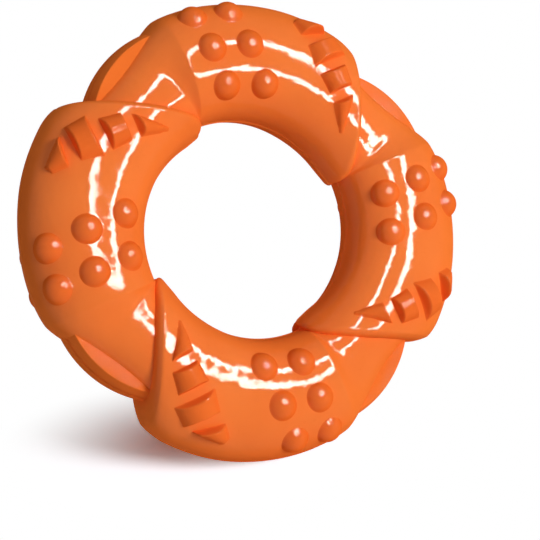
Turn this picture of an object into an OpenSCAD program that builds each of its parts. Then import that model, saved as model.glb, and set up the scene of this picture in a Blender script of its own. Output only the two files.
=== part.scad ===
// Ring chew toy of solid rubber, lying flat with its axis upright.
// Four equal segments follow one another round the ring like a pinwheel: each has a thick
// head, a body and a neck that fans out under the next segment's head. The rear half
// mirrors the front half.

/* [Ring] */
// Diameter over the segments
ring_across = 130; // [124:1:140]
// Diameter of the circle that the noses of the heads reach, in the hole
nose_across = 57; // [56:0.2:60]
// Diameter of the hole at the necks
neck_hole_across = 64.6; // [63:0.2:66]
// Thickness of a segment, front to back
body_thick = 28.6; // [26:0.2:31]

/* [Heads] */
// Rounding of the head's front and rear edge
head_round = 3.3; // [2.5:0.1:3.8]
// How far the head's edge bows out over the neck
head_bow = 3; // [2:0.1:3.5]
// How far the head's outer corner is drawn in
corner_drop = 4.3; // [3.5:0.1:5]
// Length along the rim over which that corner is rounded
corner_length = 9; // [8:0.5:12]
// How far the rim runs in behind that corner
rim_taper = 1; // [0.6:0.1:1.4]
// Length along the rim over which it does so
taper_length = 26; // [22:0.5:30]

/* [Necks] */
// How far the neck's front lies below the front of the body
neck_depth = 3.3; // [3:0.1:4]
// How far the neck's waist is drawn in from the rim of the ring
waist_depth = 7.8; // [7:0.1:9]
// Play between a neck and the head that it meets
seam_gap = 0.1; // [0.05:0.05:0.2]

/* [Flanges] */
// How far the flange's edges stay back from the outer corner of the neck's end
flange_set_back = 0.3; // [0.2:0.1:0.6]
// Thickness of the flange
flange_thick = 14.2; // [13:0.2:15]
// How far the flange's wall swells at its middle
flange_crown = 0.9; // [0.3:0.1:1.2]
// Depth that the flange is let into the neck
flange_root = 9; // [8:0.5:11]
// Width of a groove round the flange's wall
groove_width = 1; // [0.6:0.1:1.4]
// Depth of that groove
groove_depth = 0.6; // [0.4:0.1:0.8]
// Distance between the two grooves
groove_pitch = 6; // [4:0.5:8]

/* [Nubs] */
// Diameter of a nub at its foot
nub_across = 7.8; // [7:0.1:8.2]
// Height of a nub above the segment
nub_height = 2.4; // [1.8:0.1:2.8]

/* [Ridges] */
// Width of the block nearer the hole, at its wall towards the hole
hole_block_start = 7.6; // [7.2:0.1:8]
// Width of that block at its wall towards the rim
hole_block_end = 8.8; // [8.4:0.1:9.2]
// Width of the block nearer the rim, at its wall towards the hole
rim_block_start = 11; // [10.6:0.1:11.4]
// Width of that block at its wall towards the rim
rim_block_end = 9.8; // [9.4:0.1:10.2]
// Height of a ridge block above the segment
ridge_height = 3; // [2.6:0.1:3.2]
// Slot between two blocks at their feet
block_slot = 3; // [2.6:0.1:3.2]
// How far the walls of the slots lean back from foot to top
wall_lean = 1; // [0.6:0.1:1.2]
// Width of the pointed spike at its thick end
spike_across = 6; // [5.2:0.1:6.4]
// Width of that spike at its tip
spike_tip = 0.8; // [0.5:0.1:1.2]
// Width of the blunt spike at its thick end
rim_spike_across = 7.2; // [6.8:0.1:7.6]
// Width of the blunt spike at its tip
rim_spike_tip = 2.6; // [2:0.1:3.2]

/* [Seats] */
// Depth that nubs and blocks are let into the segment
seat_depth = 1.5; // [1.2:0.1:2]
// Play round what is let into a segment
seat_gap = 0.1; // [0.05:0.05:0.15]

/* [Hidden] */

$fn = 48;
rubber = "#f57837";
rubber_light = "#fb8a4e";

ring_r = ring_across / 2;
nose_r = nose_across / 2;
neck_hole_r = neck_hole_across / 2;
waist_r = ring_r - waist_depth;
half_thick = body_thick / 2;
rest_height = half_thick + ridge_height;

// Angles run along the ring from the middle line of a segment, towards its neck.
segment_count = 4;
segment_angle = 360 / segment_count;
first_angle = 180;
nose_angle = -62.5;
head_angle = -31;
shoulder_inner_angle = 29.5;
shoulder_outer_angle = 27.2;

// A share of 1 makes the cross-section an ellipse, and less makes it squarer.
section_share = 0.88;
// Softness with which the outline leaves the rim at the shoulder, as a share of the neck
crease_share = 0.12;
// Softness of the crease in the front there, and where the neck has come down to its level
crease_round_share = 0.06;
neck_settle_share = 0.45;
// How far the neck's outer flank falls away towards its flange, and where that starts and ends
flank_fall_share = 0.2;
flank_from_share = 0.5;
flank_to_share = 0.95;
// How nearly straight the head's rounded edge is cut
chamfer_share = 0.65;

// Points round a cross-section, and the sections along a segment
section_points = 36;
round_steps = 5;
body_steps = 13;
neck_steps = 13;
// More than 1 sets the sections closer together at the shoulder.
step_growth = 1.4;

function mix(a, b, k) = a + (b - a) * k;
function clamp_share(k) = min(max(k, 0), 1);
function ease(k) = let (c = clamp_share(k)) c * c * (3 - 2 * c);
function signed_power(x, p) = sign(x) * pow(abs(x), p);
function polar(r, a) = r * [cos(a), sin(a)];
function turned(p, a) = [p.x * cos(a) - p.y * sin(a), p.x * sin(a) + p.y * cos(a)];
function angle_of(p) = atan2(p.y, p.x);
function along(p, q) = (q - p) / norm(q - p);
function headward(d) = [d.y, -d.x];

// The hole widens evenly from a nose to the neck, and so does the body's inner wall.
function inner_r(a) = mix(nose_r, neck_hole_r, (a - nose_angle) / segment_angle);
mean_inner_r = inner_r((nose_angle + shoulder_inner_angle) / 2);
body_wide = ring_r - mean_inner_r;
body_run = (mean_inner_r * (shoulder_inner_angle - nose_angle)
    + ring_r * (shoulder_outer_angle - head_angle)) / 2 * PI / 180;

// The edge of a head in plan: where it stands on the inner wall and on the outer wall
head_inner = polar(nose_r, nose_angle);
head_outer = polar(ring_r - corner_drop - rim_taper, head_angle);
head_along = along(head_inner, head_outer);
// The flat end of a head, inside its rounded edge, and the neck's end that it covers
end_inner = turned(head_inner + head_along * head_round, segment_angle);
end_outer = turned(head_outer - head_along * head_round, segment_angle);
end_along = along(end_inner, end_outer);

// Stations run from 0 at the head to 1 at the shoulder and 2 at the neck's end.
function neck_share(w) = (norm([w - 1, crease_share]) + w - 1)
    / (norm([1, crease_share]) + 1);
function outer_r(w) = let (k = neck_share(w))
    ring_r * (1 - k) * (1 - 2 * k) + 4 * waist_r * k * (1 - k)
    + norm(end_outer) * k * (2 * k - 1);
function corner(w) = let (k = max(1 - w * body_run / corner_length, 0))
    corner_drop * (1 - sqrt(1 - k * k)) + rim_taper * ease(1 - w * body_run / taper_length);
function station_inner(w) = w <= 1
    ? let (a = mix(nose_angle, shoulder_inner_angle, w)) polar(inner_r(a), a)
    : polar(mix(inner_r(shoulder_inner_angle), norm(end_inner), w - 1),
        mix(shoulder_inner_angle, angle_of(end_inner), w - 1));
function station_outer(w) = w <= 1
    ? polar(outer_r(w) - corner(w), mix(head_angle, shoulder_outer_angle, w))
    : polar(outer_r(w), mix(shoulder_outer_angle, angle_of(end_outer), w - 1));
function neck_drop(w) = let (past = (norm([w - 1, crease_round_share]) + w - 1) / 2)
    1 - pow(1 - min(past / neck_settle_share, 1), 2);
function station_half(w) = half_thick - neck_depth * neck_drop(w);
function flank(w, q) = 1 - flank_fall_share * neck_drop(w)
    * ease((q - flank_from_share) / (flank_to_share - flank_from_share));
function station_bow(w) = head_bow * (w <= 1 ? ease(1 - 2 * w) : ease(w - 1));
function station_shift(w) = seam_gap * max(w - 1, 0);

// Place in plan at a share q of the way across a station, 0 at the hole and 1 at the rim
function bow_share(q) = sin(180 * sqrt(clamp_share(q)));
function plan_point(w, q, inset) = let (
        a = station_inner(w), b = station_outer(w), d = along(a, b),
        p = a + d * inset, run = norm(b - a) - 2 * inset
    )
    p + d * run * q + headward(d) * (station_bow(w) * bow_share(q) + station_shift(w));

// One closed cross-section, starting at the rim and turning over the front
function section(w, inset) = [
    for (i = [0:section_points - 1]) let (
        turn = 360 * i / section_points,
        q = (1 + signed_power(cos(turn), section_share)) / 2,
        p = plan_point(w, q, inset)
    )
    [p.x, p.y, (station_half(w) - inset) * flank(w, q) * signed_power(sin(turn), section_share)]
];

// The front of a body over a place in plan, found by halving the run of stations
function beside(p, w) = let (
        a = station_inner(w), b = station_outer(w), d = along(a, b),
        q = (p - a) * d / norm(b - a)
    )
    (p - a) * headward(d) - station_bow(w) * bow_share(q);
function station_of(p, low, high, halvings) = let (w = (low + high) / 2)
    halvings <= 0 ? w
    : beside(p, w) > 0 ? station_of(p, low, w, halvings - 1)
    : station_of(p, w, high, halvings - 1);
halving_steps = 20;
function front_height(p) = let (
        w = station_of(p, 0, 1, halving_steps),
        a = station_inner(w), b = station_outer(w),
        q = (p - a) * along(a, b) / norm(b - a),
        k = clamp_share(abs(2 * q - 1))
    )
    station_half(w) * flank(w, q) * pow(1 - pow(k, 2 / section_share), section_share / 2);
slope_step_share = 0.005;
slope_step = ring_r * slope_step_share;
function front_slope(p) = [
    front_height(p + [slope_step, 0]) - front_height(p - [slope_step, 0]),
    front_height(p + [0, slope_step]) - front_height(p - [0, slope_step])
] / (2 * slope_step);

// Stands its children on the front of a body, square to the surface there
module on_front(p, lean_share = 1) {
    slope = front_slope(p);
    way = angle_of(-slope);
    translate([p.x, p.y, front_height(p)])
        rotate([0, 0, way]) rotate([0, atan(norm(slope)) * lean_share, 0]) rotate([0, 0, -way])
            children();
}

round_share = head_round / body_run;
soft_start = 1 - crease_share;
stations = concat(
    [for (i = [0:round_steps - 1]) let (k = i / round_steps) [
        round_share * mix(1 - cos(90 * k), k, chamfer_share),
        head_round * mix(1 - sin(90 * k), 1 - k, chamfer_share)
    ]],
    [for (i = [0:body_steps]) [mix(round_share, soft_start, i / body_steps), 0]],
    [for (i = [1:neck_steps]) [mix(soft_start, 2, pow(i / neck_steps, step_growth)), 0]]
);

// The bare form of a segment: a skin over its stations, closed by an upright wall at each end
module segment_form() {
    n = section_points;
    rows = len(stations);
    points = [for (s = stations) each section(s[0], s[1])];
    skin = [
        for (i = [0:rows - 2], j = [0:n - 1]) let (
            a = i * n + j, b = i * n + (j + 1) % n, c = b + n, d = a + n
        ) each [[a, c, d], [a, b, c]]
    ];
    head_wall = [
        for (j = [0:n / 2 - 1]) let (a = j, b = j + 1, c = (n - j - 1) % n, d = (n - j) % n)
        each concat(c == b ? [] : [[a, c, b]], d == a ? [] : [[a, d, c]])
    ];
    last = (rows - 1) * n;
    neck_wall = [
        for (j = [0:n / 2 - 1]) let (
            a = last + j, b = last + j + 1, c = last + (n - j - 1) % n, d = last + (n - j) % n
        ) each concat(c == b ? [] : [[a, b, c]], d == a ? [] : [[a, c, d]])
    ];
    polyhedron(points, concat(skin, head_wall, neck_wall), convexity = 6);
}

// The flange turns about a pivot near the nose of the next head.
pivot_r_share = 0.459;
pivot_angle = 34.8;
pivot = polar(ring_r * pivot_r_share, pivot_angle);
flange_start_angle = 16;
flange_end_angle = 88;
flange_reach = norm(end_outer - pivot) - flange_set_back;
flange_r = flange_reach - flange_root;
flange_half = flange_thick / 2;

module around_pivot(play = 0) {
    spare = play / flange_r * 180 / PI;
    translate([pivot.x, pivot.y, 0]) rotate([0, 0, flange_start_angle - spare])
        rotate_extrude(angle = flange_end_angle - flange_start_angle + 2 * spare, $fn = 96)
            children();
}

module flange_profile() {
    rim_at = function (z) flange_reach + flange_crown * (1 - pow(z / flange_half, 2));
    groove = function (middle) [
        for (step = [-1, 0, 1]) let (z = middle + step * groove_width / 2)
        [rim_at(z) - (step == 0 ? groove_depth : 0), z]
    ];
    polygon(concat(
        [[flange_r, -flange_half], [flange_reach, -flange_half]],
        groove(-groove_pitch / 2),
        [[flange_reach + flange_crown, 0]],
        groove(groove_pitch / 2),
        [[flange_reach, flange_half], [flange_r, flange_half]]
    ));
}

// All of the plane on the body's side of a neck's end
module body_side() {
    side = headward(end_along);
    edge = [for (i = [section_points / 2:-1:0])
        plan_point(2, (1 + signed_power(cos(360 * i / section_points), section_share)) / 2, 0)];
    past = end_outer + side * seam_gap + end_along * ring_r;
    before = end_inner + side * seam_gap - end_along * ring_r;
    polygon(concat([before], edge, [past, past + side * ring_across, before + side * ring_across]));
}

module flange() {
    intersection() {
        around_pivot() flange_profile();
        translate([0, 0, -half_thick]) linear_extrude(body_thick) body_side();
    }
}

module flange_seat() {
    around_pivot(seat_gap)
        translate([flange_r - seat_gap, -flange_half - seat_gap])
            square([flange_root + flange_set_back + flange_crown + 2 * seat_gap,
                flange_thick + 2 * seat_gap]);
}

// Nubs stand in three rows of two: near the hole, on the crown and near the rim.
nub_row_share = [0.246, 0.568, 0.869];
nub_angle = [[16.4, -0.1], [18.5, 5.6], [20, 9.6]];
nub_lean_share = 1.2;
nub_places = [
    for (i = [0:2], a = nub_angle[i]) polar(mean_inner_r + body_wide * nub_row_share[i], a)
];
nub_r = nub_across / 2;
nub_ball_r = (nub_r * nub_r + nub_height * nub_height) / (2 * nub_height);

module nub() {
    intersection() {
        translate([0, 0, -seat_depth]) cylinder(r = nub_r, h = seat_depth + nub_height);
        translate([0, 0, nub_height - nub_ball_r]) sphere(r = nub_ball_r);
    }
}

module nub_seat() {
    translate([0, 0, -seat_depth - seat_gap])
        cylinder(r = nub_r + seat_gap, h = seat_depth + seat_gap + nub_height);
}

// The ridge runs on a flat arc behind the head's edge: two blocks between two lying spikes.
// Its slots are all cut the same way, a little askew to the row.
row_middle_share = 0.595;
row_middle_angle = -23.5;
row_middle = polar(mean_inner_r + body_wide * row_middle_share, row_middle_angle);
row_angle = 19;
row_radius_share = 1.692;
row_radius = ring_r * row_radius_share;
row_centre = row_middle + row_radius * polar(1, row_angle + 90);
block_length_share = 0.1723;
spike_length_share = 0.2687;
rim_spike_length_share = 0.1636;
block_length = body_wide * block_length_share;
spike_length = body_wide * spike_length_share;
rim_spike_length = body_wide * rim_spike_length_share;
wall_angle = 26;
block_pitch = block_length + block_slot;
row_end = block_pitch / 2 + block_length / 2 + block_slot;
spike_angle = 183.8;
rim_spike_angle = 48;
// How far the blunt spike stands off the row, towards the neck
rim_spike_side_share = 0.0643;
rim_spike_side = body_wide * rim_spike_side_share;
function row_turn(s) = s / row_radius * 180 / PI;
function row_point(s, off = 0) = row_centre
    + (row_radius - off) * polar(1, row_angle - 90 + row_turn(s));

// The radius of a hump as wide as that where it leaves the surface
function hump_r(across) = (across * across / 4 + ridge_height * ridge_height) / (2 * ridge_height);

// A piece of a cone whose top line is level, between two leaning walls
module block(start_across, end_across, grow) {
    half_long = block_length / 2 + grow;
    top = ridge_height + grow;
    foot = -seat_depth - grow;
    middle_r = (hump_r(start_across) + hump_r(end_across)) / 2;
    growth = hump_r(end_across) - hump_r(start_across);
    intersection() {
        translate([0, 0, ridge_height]) rotate([0, 90 + atan(growth / block_length), 0])
            translate([middle_r, 0, -block_length]) cylinder(
                r1 = middle_r - growth + grow, r2 = middle_r + growth + grow, h = 2 * block_length);
        rotate([90, 0, 0]) linear_extrude(4 * middle_r, center = true) polygon([
            [-half_long, foot], [half_long, foot], [half_long, 0],
            [half_long - wall_lean, top], [wall_lean - half_long, top], [-half_long, 0]
        ]);
    }
}

// A cone that lies on the surface with its underside let in. Its thick end is cut by a wall
// that looks one way in plan.
module spike(foot, heading, wall_way, long, foot_r, tip_r, grow) {
    far = foot + polar(long, heading);
    rise = front_height(far) - front_height(foot);
    reach = norm([long, rise]);
    // The cone starts behind its wall, as wide as it would be there.
    back_r = foot_r + (foot_r - tip_r) * foot_r / reach;
    translate([foot.x, foot.y, front_height(foot)]) intersection() {
        rotate([0, 90 - atan(rise / long), heading]) intersection() {
            translate([0, 0, -foot_r])
                cylinder(r1 = back_r + grow, r2 = tip_r + grow, h = reach + foot_r + grow);
            translate([-2 * foot_r, -2 * foot_r, -reach])
                cube([2 * foot_r + seat_depth + grow, 4 * foot_r, 3 * reach]);
        }
        rotate([90, 0, wall_way + 180]) linear_extrude(4 * long, center = true) polygon([
            [-grow, -2 * long], [-grow, 0], [2 * wall_lean - grow, 2 * ridge_height],
            [2 * long, 2 * ridge_height], [2 * long, -2 * long]
        ]);
    }
}

module ridge(grow = 0) {
    spike(row_point(-row_end), spike_angle, wall_angle, spike_length,
        spike_across / 2, spike_tip / 2, grow);
    on_front(row_point(-block_pitch / 2)) rotate([0, 0, wall_angle])
        block(hole_block_start, hole_block_end, grow);
    on_front(row_point(block_pitch / 2)) rotate([0, 0, wall_angle])
        block(rim_block_start, rim_block_end, grow);
    spike(row_point(row_end, rim_spike_side), rim_spike_angle, wall_angle + 180, rim_spike_length,
        rim_spike_across / 2, rim_spike_tip / 2, grow);
}

module segment_solid() {
    difference() {
        segment_form();
        flange_seat();
        for (side = [0, 1]) mirror([0, 0, side]) {
            for (p = nub_places) on_front(p, nub_lean_share) nub_seat();
            ridge(seat_gap);
        }
    }
}

// Puts its children at one of the four places round the ring, resting on the rear ridges
module at_place(k) {
    translate([0, 0, rest_height]) rotate([0, 0, first_angle - (k - 1) * segment_angle]) children();
}

module segment(k) {
    color(rubber) at_place(k) segment_solid();
}

module neck_flange(k) {
    color(rubber_light) at_place(k) flange();
}

module nubs(k, side) {
    color(rubber) at_place(k) mirror([0, 0, side])
        for (p = nub_places) on_front(p, nub_lean_share) nub();
}

module ridge_row(k, side) {
    color(rubber_light) at_place(k) mirror([0, 0, side]) ridge();
}

segment(1);  // segment_1
segment(2);  // segment_2
segment(3);  // segment_3
segment(4);  // segment_4
neck_flange(1);  // neck_flange_1
neck_flange(2);  // neck_flange_2
neck_flange(3);  // neck_flange_3
neck_flange(4);  // neck_flange_4
nubs(1, 0);  // front_nubs_1
nubs(2, 0);  // front_nubs_2
nubs(3, 0);  // front_nubs_3
nubs(4, 0);  // front_nubs_4
nubs(1, 1);  // rear_nubs_1
nubs(2, 1);  // rear_nubs_2
nubs(3, 1);  // rear_nubs_3
nubs(4, 1);  // rear_nubs_4
ridge_row(1, 0);  // front_ridge_1
ridge_row(2, 0);  // front_ridge_2
ridge_row(3, 0);  // front_ridge_3
ridge_row(4, 0);  // front_ridge_4
ridge_row(1, 1);  // rear_ridge_1
ridge_row(2, 1);  // rear_ridge_2
ridge_row(3, 1);  // rear_ridge_3
ridge_row(4, 1);  // rear_ridge_4
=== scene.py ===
"""Looks of the rubber ring chew toy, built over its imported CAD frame.

Shapes are worked out in millimetres and degrees, with the ring's middle plane at z = 0, and are
put into metres where a mesh is made. A place on a segment is given by two shares. w runs along
it, from 0 at the head's edge over 1 at the crease before the neck to 2 at the neck's end, and q
runs across it, from 0 at the hole to 1 at the rim.
"""

import math

import bmesh
import bpy
import numpy as np
from mathutils import Matrix, Vector


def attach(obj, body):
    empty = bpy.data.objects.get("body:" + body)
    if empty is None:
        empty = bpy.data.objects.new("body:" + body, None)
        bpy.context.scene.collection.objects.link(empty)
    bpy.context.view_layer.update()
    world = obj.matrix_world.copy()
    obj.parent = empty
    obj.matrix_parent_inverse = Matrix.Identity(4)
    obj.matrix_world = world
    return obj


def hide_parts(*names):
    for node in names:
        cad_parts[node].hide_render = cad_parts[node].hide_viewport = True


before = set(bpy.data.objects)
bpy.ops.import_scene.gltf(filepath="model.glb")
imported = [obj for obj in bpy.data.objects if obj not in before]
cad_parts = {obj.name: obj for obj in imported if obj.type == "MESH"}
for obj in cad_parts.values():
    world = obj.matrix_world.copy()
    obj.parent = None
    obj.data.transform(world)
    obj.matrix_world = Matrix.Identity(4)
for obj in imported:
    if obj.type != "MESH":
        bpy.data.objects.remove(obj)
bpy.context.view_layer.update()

MM = 0.001
SEGMENTS = 4
QUARTER = 360 / SEGMENTS

# The ring and its segments, in the sizes of the CAD source
RING_R = 65.0
NOSE_R = 28.5
NECK_HOLE_R = 32.3
HALF_THICK = 14.3
HEAD_ROUND = 3.3
HEAD_BOW = 3.0
CORNER_DROP = 4.3
CORNER_LENGTH = 9.0
RIM_TAPER = 1.0
TAPER_LENGTH = 26.0
NECK_HALF = 11.0
NECK_SETTLE = 0.45
WAIST_R = 57.2
RIDGE_HEIGHT = 3.0
REST_HEIGHT = HALF_THICK + RIDGE_HEIGHT
NOSE_ANGLE = -62.5
HEAD_ANGLE = -31.0
SHOULDER_INNER = 29.5
SHOULDER_OUTER = 27.2
SECTION_SHARE = 0.88
CREASE_SHARE = 0.12
CREASE_ROUND = 0.06
CHAMFER_SHARE = 0.65

# Forms of the skin that the CAD source lacks: the neck's fuller flank, the rounded nose that
# reaches over a neck, the parting line, and the tuck of a neck's end into the head over it
FLANK_SHARE = 0.75
NOSE_ROUND = 4.4
NOSE_REACH = 1.5
NOSE_REACH_LENGTH = 9.0
NOSE_REACH_SHARE = 0.16
PARTING_HEIGHT = 0.38
PARTING_HALF = 0.33
SEAM_TUCK = 0.8

# How finely the skin is divided: along it, with the band where stations lie close together at
# the crease, and round it, with the heights of the points at the parting line
EDGE_STATIONS = 15
BODY_STATIONS = 44
CREASE_STATIONS = 34
NECK_STATIONS = 26
CREASE_BAND = 0.2
PARTING_STEPS = [0, .012, .024, .037, .055, .085]
SECTION_STEPS = 25
END_WALL_STEPS = 8
BISECTIONS = 17


def mix(a, b, k):
    return a + (b - a) * k


def ease(k):
    c = np.clip(k, 0, 1)
    return c * c * (3 - 2 * c)


def signed_power(x, p):
    return np.sign(x) * np.abs(x) ** p


def soft_max(a, b, k):
    """The greater of two heights, with the corner between them rounded over a height k."""
    h = np.maximum(k - np.abs(a - b), 0) / k
    return np.maximum(a, b) + h * h * k / 4


def soft_min(a, b, k):
    return -soft_max(-a, -b, k)


def corner_cut(depth, reach, along):
    """What a quarter round cuts away at a distance from a corner: depth at 0, nothing at reach."""
    k = np.maximum(1 - along / reach, 0)
    return depth * (1 - np.sqrt(1 - k * k))


def bisected(low, high, past, times=BISECTIONS):
    """The place between low and high from which past(place) holds."""
    for _ in range(times):
        middle = (low + high) / 2
        beyond = past(middle)
        high, low = np.where(beyond, middle, high), np.where(beyond, low, middle)
    return middle


def mirrored(steps):
    """Steps from 0 on, with the same steps on the other side of 0 before them."""
    return np.concatenate([-steps[::-1][:-1], steps])


def polar(r, degrees):
    a = np.radians(degrees)
    return np.stack([r * np.cos(a), r * np.sin(a)], -1)


def length(v):
    return np.linalg.norm(v, axis=-1)


def unit(v):
    return v / length(v)[..., None]


def dot(a, b):
    return (a * b).sum(-1)


def angle_of(p):
    return math.degrees(math.atan2(p[1], p[0]))


def headward(d):
    """Square to a direction across the ring, on its head's side."""
    return np.stack([d[..., 1], -d[..., 0]], -1)


def quarter_on(p):
    """The same place on the neighbour whose head covers this segment's neck."""
    return np.array([-p[1], p[0]])


def turn_about(axis, degrees):
    return np.array(Matrix.Rotation(math.radians(degrees), 3, axis))


# The plan of a segment: stations across it, from the head's edge to the neck's end

def inner_r(angle):
    """The hole's radius, which widens evenly from a nose to the neck under it."""
    return mix(NOSE_R, NECK_HOLE_R, (angle - NOSE_ANGLE) / QUARTER)


MEAN_INNER_R = inner_r((NOSE_ANGLE + SHOULDER_INNER) / 2)
BODY_WIDE = RING_R - MEAN_INNER_R
BODY_RUN = math.radians(MEAN_INNER_R * (SHOULDER_INNER - NOSE_ANGLE)
                        + RING_R * (SHOULDER_OUTER - HEAD_ANGLE)) / 2
HEAD_INNER = polar(NOSE_R, NOSE_ANGLE)
HEAD_OUTER = polar(RING_R - CORNER_DROP - RIM_TAPER, HEAD_ANGLE)
HEAD_ALONG = unit(HEAD_OUTER - HEAD_INNER)
END_INNER = quarter_on(HEAD_INNER + HEAD_ALONG * HEAD_ROUND)
END_OUTER = quarter_on(HEAD_OUTER - HEAD_ALONG * HEAD_ROUND)


def outer_r(w):
    """The rim's radius, which past the crease follows a parabola over the waist to the end."""
    k = (np.hypot(w - 1, CREASE_SHARE) + w - 1) / (math.hypot(1, CREASE_SHARE) + 1)
    return (RING_R * (1 - k) * (1 - 2 * k) + 4 * WAIST_R * k * (1 - k)
            + length(END_OUTER) * k * (2 * k - 1))


def head_corner(w):
    """How far the head's outer corner and its tapered rim lie inside the ring's radius."""
    return (corner_cut(CORNER_DROP, CORNER_LENGTH, w * BODY_RUN)
            + RIM_TAPER * ease(1 - w * BODY_RUN / TAPER_LENGTH))


def station_inner(w):
    body = mix(NOSE_ANGLE, SHOULDER_INNER, w)
    neck = mix(SHOULDER_INNER, angle_of(END_INNER), w - 1)
    neck_r = mix(inner_r(SHOULDER_INNER), length(END_INNER), w - 1)
    return np.where((w <= 1)[..., None], polar(inner_r(body), body), polar(neck_r, neck))


def station_outer(w):
    body = mix(HEAD_ANGLE, SHOULDER_OUTER, w)
    neck = mix(SHOULDER_OUTER, angle_of(END_OUTER), w - 1)
    return np.where((w <= 1)[..., None],
                    polar(outer_r(w) - head_corner(np.minimum(w, 1)), body),
                    polar(outer_r(w), neck))


def neck_drop(w):
    """0 on the body and 1 on the level part of the neck."""
    past = (np.hypot(w - 1, CREASE_ROUND) + w - 1) / 2
    return 1 - (1 - np.minimum(past / NECK_SETTLE, 1)) ** 2


def station_half(w):
    """Half the thickness at a station."""
    return mix(HALF_THICK, NECK_HALF, neck_drop(w))


def station_bow(w):
    """How far a station bows out towards the head."""
    return HEAD_BOW * np.where(w <= 1, ease(1 - 2 * w), ease(w - 1))


def bow_share(q):
    return np.sin(math.pi * np.sqrt(np.clip(q, 0, 1)))


def beside(p, w):
    """Distance of a place in plan from the station w, positive towards the head."""
    a, b = station_inner(w), station_outer(w)
    d = unit(b - a)
    q = dot(p - a, d) / length(b - a)
    return dot(p - a, headward(d)) - station_bow(w) * bow_share(q)


def front_height(p):
    """Height of the front of a body over a place in plan."""
    w = bisected(np.zeros(p.shape[:-1]), np.ones(p.shape[:-1]), lambda w: beside(p, w) > 0)
    a, b = station_inner(w), station_outer(w)
    q = dot(p - a, unit(b - a)) / length(b - a)
    k = np.clip(np.abs(2 * q - 1), 0, 1)
    return station_half(w) * (1 - k ** (2 / SECTION_SHARE)) ** (SECTION_SHARE / 2)


# The skin of a segment

def section_turns():
    """Angles round a cross-section, close together at the parting line."""
    near = np.degrees(np.arcsin(np.array(PARTING_STEPS) ** (1 / SECTION_SHARE)))
    quarter = np.concatenate([near, np.linspace(near[-1], 90, SECTION_STEPS)[1:]])
    half = np.concatenate([quarter, 180 - quarter[::-1][1:]])
    return np.concatenate([half, 180 + half[1:-1]])


def grid_faces(rows, n, closed):
    """Faces between rows of n points each, which run round if they are closed."""
    return [(i * n + j, i * n + (j + 1) % n, (i + 1) * n + (j + 1) % n, (i + 1) * n + j)
            for i in range(rows - 1) for j in range(n if closed else n - 1)]


def segment_skin():
    """Points and faces of one segment: a closed skin from its head to its neck's end."""
    # Stations of the head's rounded edge, the body, the crease and the neck, with one tucked in
    edge_share = HEAD_ROUND / BODY_RUN
    rounding = np.linspace(0, math.pi / 2, EDGE_STATIONS)[:-1]
    straight = rounding / (math.pi / 2)
    w = np.concatenate([
        edge_share * mix(1 - np.cos(rounding), straight, CHAMFER_SHARE),
        np.linspace(edge_share, 1 - CREASE_BAND, BODY_STATIONS),
        np.linspace(1 - CREASE_BAND, 1 + CREASE_BAND, CREASE_STATIONS)[1:],
        np.linspace(1 + CREASE_BAND, 2, NECK_STATIONS)[1:],
        [2.0],
    ])
    inset = np.zeros(len(w))
    inset[:len(rounding)] = HEAD_ROUND * mix(1 - np.sin(rounding), 1 - straight, CHAMFER_SHARE)
    tuck = np.zeros(len(w))
    tuck[-1] = -SEAM_TUCK

    # Cross-sections, fuller on the rim's side of the neck, with the parting line on them
    turns = np.radians(section_turns())
    share = mix(SECTION_SHARE, FLANK_SHARE, neck_drop(w)[:, None] * (np.cos(turns) > 0))
    q = (1 + signed_power(np.cos(turns), share)) / 2
    z = (station_half(w) - inset)[:, None] * signed_power(np.sin(turns), share)
    parting = PARTING_HEIGHT * np.exp(-(z / PARTING_HALF) ** 2) * np.sign(np.cos(turns))
    parting = parting * (1 - inset / HEAD_ROUND)[:, None]

    # Their places in plan, across the ring and ahead of the straight line from hole to rim
    a, b = station_inner(w), station_outer(w)
    d = unit(b - a)
    nose = corner_cut(NOSE_ROUND, NOSE_ROUND, w * BODY_RUN)
    across = (length(b - a) - inset - nose)[:, None] * q + nose[:, None] + parting
    reach = NOSE_REACH * ease(1 - w * BODY_RUN / NOSE_REACH_LENGTH)
    ahead = station_bow(w)[:, None] * bow_share(q) + tuck[:, None]
    ahead = ahead + reach[:, None] * np.exp(-(q / NOSE_REACH_SHARE) ** 2)
    p = a[:, None] + d[:, None] * across[..., None] + headward(d)[:, None] * ahead[..., None]

    rows, n = z.shape
    points = list(np.concatenate([p, z[..., None]], -1).reshape(-1, 3))
    faces = grid_faces(rows, n, True)
    for first in (0, (rows - 1) * n):
        close_end(points, faces, first, n)
    return np.array(points), faces


def close_end(points, faces, first, n):
    """Closes the loop of n points from first with a wall of even strips between its halves."""
    half = n // 2
    levels = [[first + j for j in range(half + 1)]]
    for s in range(1, END_WALL_STEPS):
        level = [first]
        for j in range(1, half):
            top, low = points[first + j], points[first + n - j]
            level.append(len(points))
            points.append(mix(top, low, s / END_WALL_STEPS))
        levels.append(level + [first + half])
    levels.append([first + (n - j) % n for j in range(half + 1)])
    for upper, lower in zip(levels, levels[1:]):
        for j in range(half):
            ring = [upper[j], upper[j + 1], lower[j + 1], lower[j]]
            face = [v for k, v in enumerate(ring) if v not in ring[:k]]
            if len(face) > 2:
                faces.append(tuple(face))


# Raised forms on the skin: nubs and ridges

SLOPE_STEP = RING_R / 200
# How far below and above a place's plane its skin is looked for
SKIN_BELOW = 7.0
SKIN_ABOVE = 4.0
# A form's foot: its round, how far it runs out below the skin, and how deep its border is sunk
FOOT_ROUND = 0.55
FOOT_GAP = 0.03
FOOT_SUNK = 1.2
# How steeply a form falls outside the round that shapes it
FALL = 8


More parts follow.
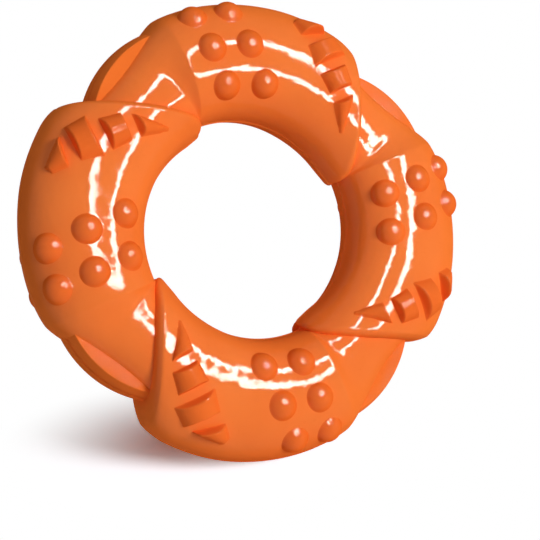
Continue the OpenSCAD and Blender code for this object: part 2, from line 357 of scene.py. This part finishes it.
def standing(p, lean=1.0, spin=0.0):
    """Origin and axes of a place on the front, with Z square to the surface."""
    p = np.asarray(p, float)
    h = front_height(p + SLOPE_STEP * np.array([[1, 0], [-1, 0], [0, 1], [0, -1]]))
    slope = np.array([h[0] - h[1], h[2] - h[3]]) / (2 * SLOPE_STEP)
    way = angle_of(-slope)
    tilt = math.degrees(math.atan(length(slope))) * lean
    axes = turn_about("Z", way) @ turn_about("Y", tilt) @ turn_about("Z", spin - way)
    return np.array([*p, float(front_height(p[None])[0])]), axes


def skin_level(origin, axes, x, y):
    """How far the body's skin is from a place's own plane, along its Z."""
    base = origin + x[..., None] * axes[:, 0] + y[..., None] * axes[:, 1]

    def above(t):
        p = base + t[..., None] * axes[:, 2]
        return p[..., 2] > front_height(p[..., :2])
    return bisected(np.full(x.shape, -SKIN_BELOW), np.full(x.shape, SKIN_ABOVE), above)


def relief(origin, axes, x, y, height, closed):
    """A raised form whose soft foot runs out into the skin, with a fan of faces under it.

    Closed rows run round a middle, and open ones fill a rectangle.
    """
    level = skin_level(origin, axes, x, y) - FOOT_GAP
    top = soft_max(level, height, FOOT_ROUND)
    border = np.zeros(x.shape, bool)
    border[-1] = True
    if not closed:
        border[0] = border[:, 0] = border[:, -1] = True
    top = np.where(border, level - FOOT_SUNK, top)
    p = (origin + x[..., None] * axes[:, 0] + y[..., None] * axes[:, 1]
         + top[..., None] * axes[:, 2])
    rows, n = x.shape
    points = list(p.reshape(-1, 3))
    faces = grid_faces(rows, n, closed)
    if closed:
        points.append(origin + top[0, 0] * axes[:, 2])
        faces += [(len(points) - 1, (j + 1) % n, j) for j in range(n)]
        edge = [(rows - 1) * n + j for j in range(n)]
    else:
        edge = (list(range(n)) + [i * n + n - 1 for i in range(1, rows)]
                + [(rows - 1) * n + j for j in range(n - 2, -1, -1)]
                + [i * n for i in range(rows - 2, 0, -1)])
    points.append(np.mean([points[v] for v in edge], 0))
    faces += [(len(points) - 1, edge[j], edge[(j + 1) % len(edge)]) for j in range(len(edge))]
    return np.array(points), faces


NUB_R = 3.9
NUB_HEIGHT = 2.4
NUB_ROW_SHARE = [0.246, 0.568, 0.869]
NUB_ANGLE = [[16.4, -0.1], [18.5, 5.6], [20, 9.6]]
NUB_LEAN = 1.2
# Circles of points on a nub, close together at its foot and sunk at the last
NUB_CIRCLES = np.concatenate([np.linspace(0.25, 3.0, 10), np.linspace(3.2, 4.3, 12),
                              [4.45, 4.6, 4.75]])
NUB_TURN = 7.5


def nub(p):
    """A domed nub: a cap cut from a ball."""
    ball = (NUB_R ** 2 + NUB_HEIGHT ** 2) / (2 * NUB_HEIGHT)
    r, turns = np.meshgrid(NUB_CIRCLES, np.radians(np.arange(0, 360, NUB_TURN)), indexing="ij")
    dome = (NUB_HEIGHT - ball + np.sqrt(np.maximum(ball ** 2 - np.minimum(r, ball) ** 2, 0))
            - FALL * np.maximum(r - ball, 0))
    origin, axes = standing(p, NUB_LEAN)
    return relief(origin, axes, r * np.cos(turns), r * np.sin(turns), dome, True)


# Widths of the two blocks, at their walls towards the hole and towards the rim
HOLE_BLOCK_ACROSS = (7.6, 8.8)
RIM_BLOCK_ACROSS = (11.0, 9.8)
BLOCK_LENGTH = 5.9
BLOCK_SLOT = 3.0
BLOCK_PITCH = BLOCK_LENGTH + BLOCK_SLOT
HOLE_SPIKE_ACROSS = 6.0
HOLE_SPIKE_TIP = 0.8
HOLE_SPIKE_LENGTH = 9.2
HOLE_SPIKE_ANGLE = 183.8
RIM_SPIKE_ACROSS = 7.2
RIM_SPIKE_TIP = 2.6
RIM_SPIKE_LENGTH = 5.6
RIM_SPIKE_ANGLE = 48.0
RIM_SPIKE_SIDE = 2.2
ROW_PLACE = 0.595
ROW_PLACE_ANGLE = -23.5
ROW_MIDDLE = polar(MEAN_INNER_R + BODY_WIDE * ROW_PLACE, ROW_PLACE_ANGLE)
ROW_ANGLE = 19.0
ROW_RADIUS = 110.0
ROW_CENTRE = ROW_MIDDLE + ROW_RADIUS * polar(1, ROW_ANGLE + 90)
ROW_END = BLOCK_PITCH / 2 + BLOCK_LENGTH / 2 + BLOCK_SLOT
WALL_ANGLE = 26.0
# Height that a wall gains for each millimetre in from its foot, and its height at its foot
WALL_SLOPE = 5.0
WALL_FOOT = 0.2
EDGE_ROUND = 1.2
SPIKE_EDGE_ROUND = EDGE_ROUND * 0.8
SPIKE_TIP_SPARE = 0.3
SPIKE_SIDE_SHARE = 0.96
SPIKE_FALL = 6
# How far the points of a ridge run on past its walls and sides, under the skin, how far in from
# there they lie close together, and in how many steps they lie
END_MARGIN = 0.9
SIDE_MARGIN = 0.8
END_BAND = 1.4
TIP_BAND = 1.0
SIDE_BAND = 1.6
SPIKE_SIDE_BAND = 0.72
END_STEPS = 6
SIDE_STEPS = 8
SPIKE_SIDE_STEPS = 5
SPIKE_WALL_STEPS, SPIKE_BODY_STEPS, SPIKE_TIP_STEPS = 12, 12, 9


def row_point(s, side=0.0):
    """A place along the arc of a ridge, from its middle, and to the head's side of it."""
    turn = math.degrees(s / ROW_RADIUS)
    return ROW_CENTRE + (ROW_RADIUS - side) * polar(1, ROW_ANGLE - 90 + turn)


def closing_in(far, dense, steps):
    """Even steps from 0 to dense, then close ones to far."""
    return np.concatenate([np.linspace(0, dense, steps), np.linspace(dense, far, 2 * steps)[1:]])


def block(s, start_across, end_across):
    """A piece of a cone that lies along the ridge, between two leaning walls."""
    half_long = BLOCK_LENGTH / 2
    widest = max(start_across, end_across) / 2
    along = closing_in(half_long + END_MARGIN, half_long - END_BAND, END_STEPS)
    across = closing_in(widest + SIDE_MARGIN, widest - SIDE_BAND, SIDE_STEPS)
    x, y = np.meshgrid(mirrored(along), mirrored(across), indexing="ij")
    half_wide = mix(start_across, end_across, x / BLOCK_LENGTH + 0.5) / 2
    ball = (half_wide ** 2 + RIDGE_HEIGHT ** 2) / (2 * RIDGE_HEIGHT)
    off = np.abs(y)
    crown = RIDGE_HEIGHT - ball + np.sqrt(np.maximum(ball ** 2 - np.minimum(off, ball) ** 2, 0))
    crown = crown - FALL * np.maximum(off - ball, 0)
    wall = (half_long - np.abs(x)) * WALL_SLOPE + WALL_FOOT
    origin, axes = standing(row_point(s), spin=WALL_ANGLE)
    return relief(origin, axes, x, y, soft_min(crown, wall, EDGE_ROUND), False)


def spike(foot, heading, facing, long, foot_r, tip_r):
    """A lying spike with its thick end cut by a wall that faces a given way."""
    far = foot + long * polar(1, heading)
    h = front_height(np.array([foot, far]))
    ahead = unit(np.array([*(far - foot), h[1] - h[0]]))
    left = np.array([-math.sin(math.radians(heading)), math.cos(math.radians(heading)), 0])
    origin, axes = np.array([*foot, h[0]]), np.stack([ahead, left, np.cross(ahead, left)], 1)
    wall_way = polar(1, facing - heading)
    along = np.concatenate([
        np.linspace(-END_MARGIN, END_BAND, SPIKE_WALL_STEPS),
        np.linspace(END_BAND, long - TIP_BAND, SPIKE_BODY_STEPS)[1:],
        np.linspace(long - TIP_BAND, long + END_MARGIN, SPIKE_TIP_STEPS)[1:],
    ])
    across = closing_in(1, SPIKE_SIDE_BAND, SPIKE_SIDE_STEPS)
    x, side = np.meshgrid(along, mirrored(across), indexing="ij")
    y = side * (mix(foot_r, tip_r, np.clip(x / long, 0, 1)) + SIDE_MARGIN)
    near_wall = 1 - np.clip(x / long, 0, 1)
    x = x - y * wall_way[1] / wall_way[0] * near_wall
    r = mix(foot_r, tip_r, np.clip(x / long, -SPIKE_TIP_SPARE, 1))
    off = np.abs(y)
    crown = (np.sqrt(np.maximum(r ** 2 - np.minimum(off, r) ** 2, 0))
             - SPIKE_FALL * np.maximum(off - r * SPIKE_SIDE_SHARE, 0))
    crown = crown + skin_level(origin, axes, x, np.zeros_like(x))
    wall = -(x * wall_way[0] + y * wall_way[1]) * WALL_SLOPE + WALL_FOOT
    wall = soft_min(wall, (long - x + SPIKE_TIP_SPARE) * WALL_SLOPE, EDGE_ROUND)
    return relief(origin, axes, x, y, soft_min(crown, wall, SPIKE_EDGE_ROUND), False)


def joined(forms):
    """Several forms in one mesh."""
    points, faces, first = [], [], 0
    for p, f in forms:
        points.append(p)
        faces += [tuple(v + first for v in face) for face in f]
        first += len(p)
    return np.concatenate(points), faces


def nub_group():
    """Six nubs, in three pairs from the hole to the rim."""
    return joined([nub(p) for row, angles in zip(NUB_ROW_SHARE, NUB_ANGLE)
                   for p in polar(MEAN_INNER_R + BODY_WIDE * row, np.array(angles))])


def ridge():
    """Two blocks between a spike at the hole and a blunt one at the rim."""
    return joined([
        spike(row_point(-ROW_END), HOLE_SPIKE_ANGLE, WALL_ANGLE, HOLE_SPIKE_LENGTH,
              HOLE_SPIKE_ACROSS / 2, HOLE_SPIKE_TIP / 2),
        block(-BLOCK_PITCH / 2, *HOLE_BLOCK_ACROSS),
        block(BLOCK_PITCH / 2, *RIM_BLOCK_ACROSS),
        spike(row_point(ROW_END, RIM_SPIKE_SIDE), RIM_SPIKE_ANGLE, WALL_ANGLE + 180,
              RIM_SPIKE_LENGTH, RIM_SPIKE_ACROSS / 2, RIM_SPIKE_TIP / 2),
    ])


# The grooved flange at a neck, turned about a pivot of its own. Its wall bulges more and its
# grooves are deeper than in the CAD source.

PIVOT_SHARE = 0.459
PIVOT_ANGLE = 34.8
PIVOT = polar(RING_R * PIVOT_SHARE, PIVOT_ANGLE)
FLANGE_START = 16.0
# The angles between which a flange's end is looked for
FLANGE_END = (50.0, 115.0)
FLANGE_BISECTIONS = 22
FLANGE_STEPS = 64
FLANGE_HALF = 7.1
FLANGE_CROWN = 2.0
FLANGE_SET_BACK = 1.4
FLANGE_REACH = float(length(END_OUTER - PIVOT)) - FLANGE_SET_BACK
FLANGE_ROOT = 9.0
FLANGE_EDGE = 0.35
GROOVE_DEPTH = 0.9
GROOVE_HALF = 0.36
GROOVE_PITCH = 6.0
DISH_DEPTH = 0.35
DISH_GATHER = 1.6
WALL_STEPS = 34
BEND_STEPS = 7
DISH_STEPS = 12


def flange_profile():
    """The flange in section: its bulged wall with two grooves, and its faintly dished faces."""
    z = np.linspace(0, FLANGE_HALF - FLANGE_EDGE, WALL_STEPS)
    wall = FLANGE_REACH + FLANGE_CROWN * (1 - (z / FLANGE_HALF) ** 2)
    wall = wall - GROOVE_DEPTH * np.exp(-((z - GROOVE_PITCH / 2) / GROOVE_HALF) ** 2)
    rim = wall[-1]
    arc = np.radians(np.linspace(0, 90, BEND_STEPS))[1:]
    bend = np.stack([rim - FLANGE_EDGE * (1 - np.cos(arc)),
                     FLANGE_HALF - FLANGE_EDGE + FLANGE_EDGE * np.sin(arc)], 1)
    back = np.linspace(0, 1, DISH_STEPS)[1:]
    flat_r = mix(rim - FLANGE_EDGE, FLANGE_REACH - FLANGE_ROOT, back ** DISH_GATHER)
    share = np.clip((rim - FLANGE_EDGE - flat_r) / FLANGE_ROOT, 0, 1)
    flat = np.stack([flat_r, FLANGE_HALF - DISH_DEPTH * np.sin(math.pi * share)], 1)
    upper = np.concatenate([np.stack([wall, z], 1), bend, flat])
    lower = upper[1:] * [1, -1]
    return np.concatenate([upper, lower[::-1]])


def flange():
    """The flange's section, swept from inside the body until it is tucked into the next head."""
    profile = flange_profile()
    r, n = profile[:, 0], len(profile)
    neck_end = np.full(n, 2.0)
    end = bisected(np.full(n, FLANGE_END[0]), np.full(n, FLANGE_END[1]),
                   lambda turn: beside(PIVOT + polar(r, turn), neck_end) <= -SEAM_TUCK,
                   FLANGE_BISECTIONS)
    points = np.concatenate([
        np.column_stack([PIVOT + polar(r, mix(FLANGE_START, end, k)), profile[:, 1]])
        for k in np.linspace(0, 1, FLANGE_STEPS)])
    faces = grid_faces(FLANGE_STEPS, n, True)
    faces += [tuple(range(n)), tuple(range(len(points) - n, len(points)))]
    return points, faces


def piece(node, ending, k, form, rear, finish):
    """The piece of segment k that rides on the frame in place of a CAD node."""
    name = f"{node}_{ending}"
    points, faces = form
    points = points * [1, 1, -1] if rear else points
    points = points @ turn_about("Z", 180 - (k - 1) * QUARTER).T + [0, 0, REST_HEIGHT]
    mesh = bpy.data.meshes.new(name)
    mesh.from_pydata((points * MM).tolist(), [], faces)
    shape = bmesh.new()
    shape.from_mesh(mesh)
    bmesh.ops.recalc_face_normals(shape, faces=shape.faces)
    for face in shape.faces:
        face.smooth = True
    shape.to_mesh(mesh)
    shape.free()
    mesh.materials.append(finish)
    obj = bpy.data.objects.new(name, mesh)
    bpy.context.scene.collection.objects.link(obj)
    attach(obj, "root")
    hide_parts(node)


# Finishes

class Wire:
    """A socket in a node tree. Sums are written with + and *, and node() adds any other node."""

    def __init__(self, tree, socket=None):
        self.tree, self.socket = tree, socket

    def node(self, kind, settings=None, out=0, **inputs):
        """Adds a node. An input is named by its words with _ between them, or i and its number."""
        made = self.tree.nodes.new(kind)
        for name, value in (settings or {}).items():
            setattr(made, name, value)
        for name, value in inputs.items():
            key = int(name[1:]) if name[1:].isdigit() else name.replace("_", " ")
            if isinstance(value, Wire):
                self.tree.links.new(value.socket, made.inputs[key])
            else:
                made.inputs[key].default_value = value
        return Wire(self.tree, made.outputs[out] if made.outputs else None)

    def math(self, operation, a, b):
        return self.node("ShaderNodeMath", {"operation": operation}, i0=a, i1=b)

    def __add__(self, other): return self.math("ADD", self, other)
    def __radd__(self, other): return self.math("ADD", other, self)
    def __mul__(self, other): return self.math("MULTIPLY", self, other)
    def __rmul__(self, other): return self.math("MULTIPLY", other, self)

    def between(self, low, high):
        """0 below low, 1 above high, and soft in between."""
        return self.node("ShaderNodeMapRange", {"interpolation_type": "SMOOTHSTEP"},
                         Value=self, From_Min=low, From_Max=high)

    def blend(self, a, b):
        """Colour a where this is 0 and b where it is 1."""
        return self.node("ShaderNodeMix", {"data_type": "RGBA"}, out=2, i0=self, i6=a, i7=b)


def plain_tree(owner):
    owner.use_nodes = True
    owner.node_tree.nodes.clear()
    return Wire(owner.node_tree)


def linear(red, green, blue):
    """A colour given as it shows on a screen, 0 to 255."""
    def one(c):
        c /= 255
        return c / 12.92 if c <= 0.04045 else ((c + 0.055) / 1.055) ** 2.4
    return (one(red), one(green), one(blue), 1)


def noise(wire, place, scale, detail=2.0, roughness=0.5):
    return wire.node("ShaderNodeTexNoise", Vector=place, Scale=scale, Detail=detail,
                     Roughness=roughness)


RUBBER_IOR = 1.45
# How much clouds and flecks deepen the colour, and how much rubbed patches add to the roughness
CLOUD_TINT = 0.55
FLECK_TINT = 0.18
RUBBED_SHARE = 0.8
# Depths in metres, and the strength of the grain next to that of the flow waves
WAVE_DEPTH = 0.0006
GRAIN_DEPTH = 0.00004
GRAIN_SHARE = 0.24


def rubber(name, colour, deep, roughness, shine, uneven=0.5):
    """Moulded rubber: cloudy colour, faint flow waves, fine grain and rubbed patches.

    Its shine fades towards the limbs, which would mirror the white backdrop otherwise.
    """
    material = bpy.data.materials.new(name)
    wire = plain_tree(material)
    place = wire.node("ShaderNodeTexCoord", out="Object")
    cloud = noise(wire, place, scale=38, detail=3).between(0.35, 0.68)
    fleck = noise(wire, place, scale=900).between(0.62, 0.74)
    wave = noise(wire, place, scale=85, detail=3.4, roughness=0.6)
    grain = noise(wire, place, scale=2600)
    rubbed = noise(wire, place, scale=160, detail=4, roughness=0.6).between(0.5, 0.7)
    tint = (cloud * CLOUD_TINT + fleck * FLECK_TINT).blend(colour, deep)
    worn = rubbed * (roughness * RUBBED_SHARE) + roughness
    waves = wire.node("ShaderNodeBump", Strength=uneven, Distance=WAVE_DEPTH, Height=wave)
    bump = wire.node("ShaderNodeBump", Strength=uneven * GRAIN_SHARE, Distance=GRAIN_DEPTH,
                     Height=grain, Normal=waves)
    shiny, matt = (wire.node("ShaderNodeBsdfPrincipled", Base_Color=tint, Roughness=worn,
                             IOR=RUBBER_IOR, Specular_IOR_Level=level, Normal=bump)
                   for level in (shine, 0.0))
    limb = wire.node("ShaderNodeLayerWeight", out="Facing", Blend=0.5).between(0.18, 0.5)
    wire.node("ShaderNodeOutputMaterial",
              Surface=wire.node("ShaderNodeMixShader", i0=limb, i1=shiny, i2=matt))
    return material


# Camera, light and floor

CENTRE = Vector((0, 0, REST_HEIGHT)) * MM
CAMERA_TILT = 0.1246
CAMERA_TURN = -0.3931
CAMERA_PLACE = Vector((-124.19, -54.07, 333.5))
CAMERA_LENS = 80.73
CAMERA_SENSOR = 36
VIEW_AXES = Matrix.Rotation(CAMERA_TURN, 3, "Y") @ Matrix.Rotation(CAMERA_TILT, 3, "X")


def seen(right, up, back):
    """A direction given from the camera: to its right, up, and back towards it."""
    return (VIEW_AXES @ Vector((right, up, back))).normalized()


# The ring lamp's distance, and the angles of its middle line, of half its band and of its steps
RING_LAMP_AWAY = 0.34
RING_LAMP_ANGLE = 15.4
RING_LAMP_BAND_ANGLE = 3.1
RING_LAMP_TURN = 5
RING_LAMP_STRENGTH = 115
RING_LAMP_COLOUR = (1, 0.98, 0.92, 1)
RING_LAMP_WAY = seen(0.576, 0.400, 0.713)
LAMP_AWAY = 1.2
KEY_LAMP_WAY = seen(0.7, 0.15, 0.7)
TOP_LAMP_WAY = seen(-0.1, 1, 0.25)

# The floor stands square to the picture, under the ring as the camera sees it. Its paper for the
# shade is so pale that it shows as white in the light, and only the ring's shadow on it stays
# dark. That paper is an oval, shifted and stretched in the floor's plane.
FLOOR_UP = seen(0, 1, 0.30)
FLOOR_DOWN = 0.0640
FLOOR_HALF = 2
PAPER = (0.86, 0.85, 0.86, 1)
SHADE_PAPER = (2.42, 2.52, 2.72, 1)
SHADE_SHIFT = (-0.0165, 0.0091, 0)
SHADE_STRETCH = (1, 1.21, 1)
SHADE_REACH = 0.0607

WHITE = (1, 1, 1, 1)
AMBIENT = 0.21


def turned_to(direction):
    return direction.to_track_quat("Z", "Y").to_matrix().to_4x4()


def shows_background(wire):
    """1 for the rays in which the background is seen: straight, mirrored or through a piece."""
    straight, mirror, through = (wire.node("ShaderNodeLightPath", out=f"Is {kind} Ray")
                                 for kind in ("Camera", "Glossy", "Transmission"))
    return straight + mirror + through


def make_camera():
    camera = bpy.data.objects.new("camera", bpy.data.cameras.new("camera"))
    camera.matrix_world = Matrix.Translation(CAMERA_PLACE * MM) @ VIEW_AXES.to_4x4()
    camera.data.sensor_width = CAMERA_SENSOR
    camera.data.lens = CAMERA_LENS
    camera.data.clip_start = 0.01
    camera.data.clip_end = 20
    bpy.context.scene.collection.objects.link(camera)
    bpy.context.scene.camera = camera


def stage_piece(name, mesh, place, facing, material):
    mesh.materials.append(material)
    obj = bpy.data.objects.new(name, mesh)
    obj.matrix_world = Matrix.Translation(place) @ turned_to(facing)
    bpy.context.scene.collection.objects.link(obj)
    return obj


def make_ring_lamp():
    """A flat ring that gives off light and shows only as a reflection."""
    material = bpy.data.materials.new("ring_lamp")
    wire = plain_tree(material)
    wire.node("ShaderNodeOutputMaterial",
              Surface=wire.node("ShaderNodeEmission", Color=RING_LAMP_COLOUR,
                                Strength=RING_LAMP_STRENGTH))
    middle, band = (RING_LAMP_AWAY * math.tan(math.radians(angle))
                    for angle in (RING_LAMP_ANGLE, RING_LAMP_BAND_ANGLE))
    turns = np.radians(np.arange(0, 360, RING_LAMP_TURN))
    n = len(turns)
    points = [(r * math.cos(t), r * math.sin(t), 0) for r in (middle - band, middle + band)
              for t in turns]
    mesh = bpy.data.meshes.new("ring_lamp")
    mesh.from_pydata(points, [], [(j, (j + 1) % n, n + (j + 1) % n, n + j) for j in range(n)])
    obj = stage_piece("ring_lamp", mesh, CENTRE + RING_LAMP_WAY * RING_LAMP_AWAY,
                      RING_LAMP_WAY, material)
    obj.visible_camera = obj.visible_diffuse = obj.visible_shadow = False


def make_lamp(name, direction, size, watts):
    """A round soft lamp that shows in no reflection."""
    data = bpy.data.lights.new(name, "AREA")
    data.shape = "DISK"
    data.size = size
    data.energy = watts
    obj = bpy.data.objects.new(name, data)
    obj.matrix_world = Matrix.Translation(CENTRE + direction * LAMP_AWAY) @ turned_to(direction)
    obj.visible_glossy = False
    bpy.context.scene.collection.objects.link(obj)


def make_floor():
    """Pale paper that is seen from its front only, with the ring's shade on it.

    The rays in which the background is seen meet paper turned to the key lamp, which casts the
    shade, and it fades to plain white away from there. All other rays meet plain matt paper.
    """
    material = bpy.data.materials.new("floor_paper")
    wire = plain_tree(material)
    matt = wire.node("ShaderNodeBsdfDiffuse", Color=PAPER)
    to_key = wire.node("ShaderNodeCombineXYZ", X=KEY_LAMP_WAY.x, Y=KEY_LAMP_WAY.y,
                       Z=KEY_LAMP_WAY.z)
    shaded = wire.node("ShaderNodeBsdfDiffuse", Color=SHADE_PAPER, Normal=to_key)
    glow = wire.node("ShaderNodeEmission", Color=WHITE, Strength=1.0)
    spot = wire.node("ShaderNodeMapping", Vector=wire.node("ShaderNodeTexCoord", out="Object"),
                     Location=SHADE_SHIFT, Scale=SHADE_STRETCH)
    apart = wire.node("ShaderNodeVectorMath", {"operation": "LENGTH"}, out="Value", i0=spot)
    white = wire.node("ShaderNodeMixShader", i0=apart.between(0, SHADE_REACH), i1=shaded,
                      i2=glow)
    front = wire.node("ShaderNodeMixShader", i0=shows_background(wire), i1=matt, i2=white)
    clear = wire.node("ShaderNodeBsdfTransparent", Color=WHITE)
    behind = wire.node("ShaderNodeNewGeometry", out="Backfacing")
    wire.node("ShaderNodeOutputMaterial",
              Surface=wire.node("ShaderNodeMixShader", i0=behind, i1=front, i2=clear))
    mesh = bpy.data.meshes.new("floor")
    mesh.from_pydata([(x * FLOOR_HALF, y * FLOOR_HALF, 0)
                      for x, y in ((-1, -1), (1, -1), (1, 1), (-1, 1))], [], [(0, 1, 2, 3)])
    stage_piece("floor", mesh, CENTRE - FLOOR_UP * FLOOR_DOWN, FLOOR_UP, material)


def make_world():
    """Faint light from all sides, and white where the background shows."""
    world = bpy.data.worlds.new("studio")
    bpy.context.scene.world = world
    wire = plain_tree(world)
    ambient = wire.node("ShaderNodeBackground", Color=WHITE, Strength=AMBIENT)
    white = wire.node("ShaderNodeBackground", Color=WHITE, Strength=1.0)
    wire.node("ShaderNodeOutputWorld",
              Surface=wire.node("ShaderNodeMixShader", i0=shows_background(wire), i1=ambient,
                                i2=white))


body_finish = rubber("segment_rubber", linear(253, 128, 54), linear(244, 117, 45),
                     roughness=0.05, shine=0.12)
flange_finish = rubber("flange_rubber", linear(250, 124, 50), linear(242, 114, 42),
                       roughness=0.05, shine=0.006)
nub_finish = rubber("nub_rubber", linear(248, 116, 44), linear(238, 104, 34),
                    roughness=0.005, shine=0.12, uneven=0.1)
ridge_finish = rubber("ridge_rubber", linear(248, 116, 46), linear(238, 104, 38),
                      roughness=0.12, shine=0.035)

skin, plate, domes, blocks = segment_skin(), flange(), nub_group(), ridge()
# CAD node, ending of the piece's name, form, whether on the rear, finish and material slot
GROUPS = [
    ("segment", "skin", skin, False, body_finish, "rubber_body"),
    ("neck_flange", "plate", plate, False, flange_finish, "rubber_flange"),
    ("front_nubs", "domes", domes, False, nub_finish, "rubber_nub"),
    ("front_ridge", "blocks", blocks, False, ridge_finish, "rubber_ridge"),
    ("rear_nubs", "domes", domes, True, nub_finish, "rubber_nub"),
    ("rear_ridge", "blocks", blocks, True, ridge_finish, "rubber_ridge"),
]
for k in range(1, SEGMENTS + 1):
    for node, ending, form, rear, finish, slot in GROUPS:
        piece(f"{node}_{k}", ending, k, form, rear, finish)

make_camera()
make_ring_lamp()
make_lamp("key_lamp", KEY_LAMP_WAY, size=0.4, watts=9.0)
make_lamp("top_lamp", TOP_LAMP_WAY, size=1.0, watts=1.8)
make_floor()
make_world()
bpy.context.scene.view_settings.view_transform = "Standard"
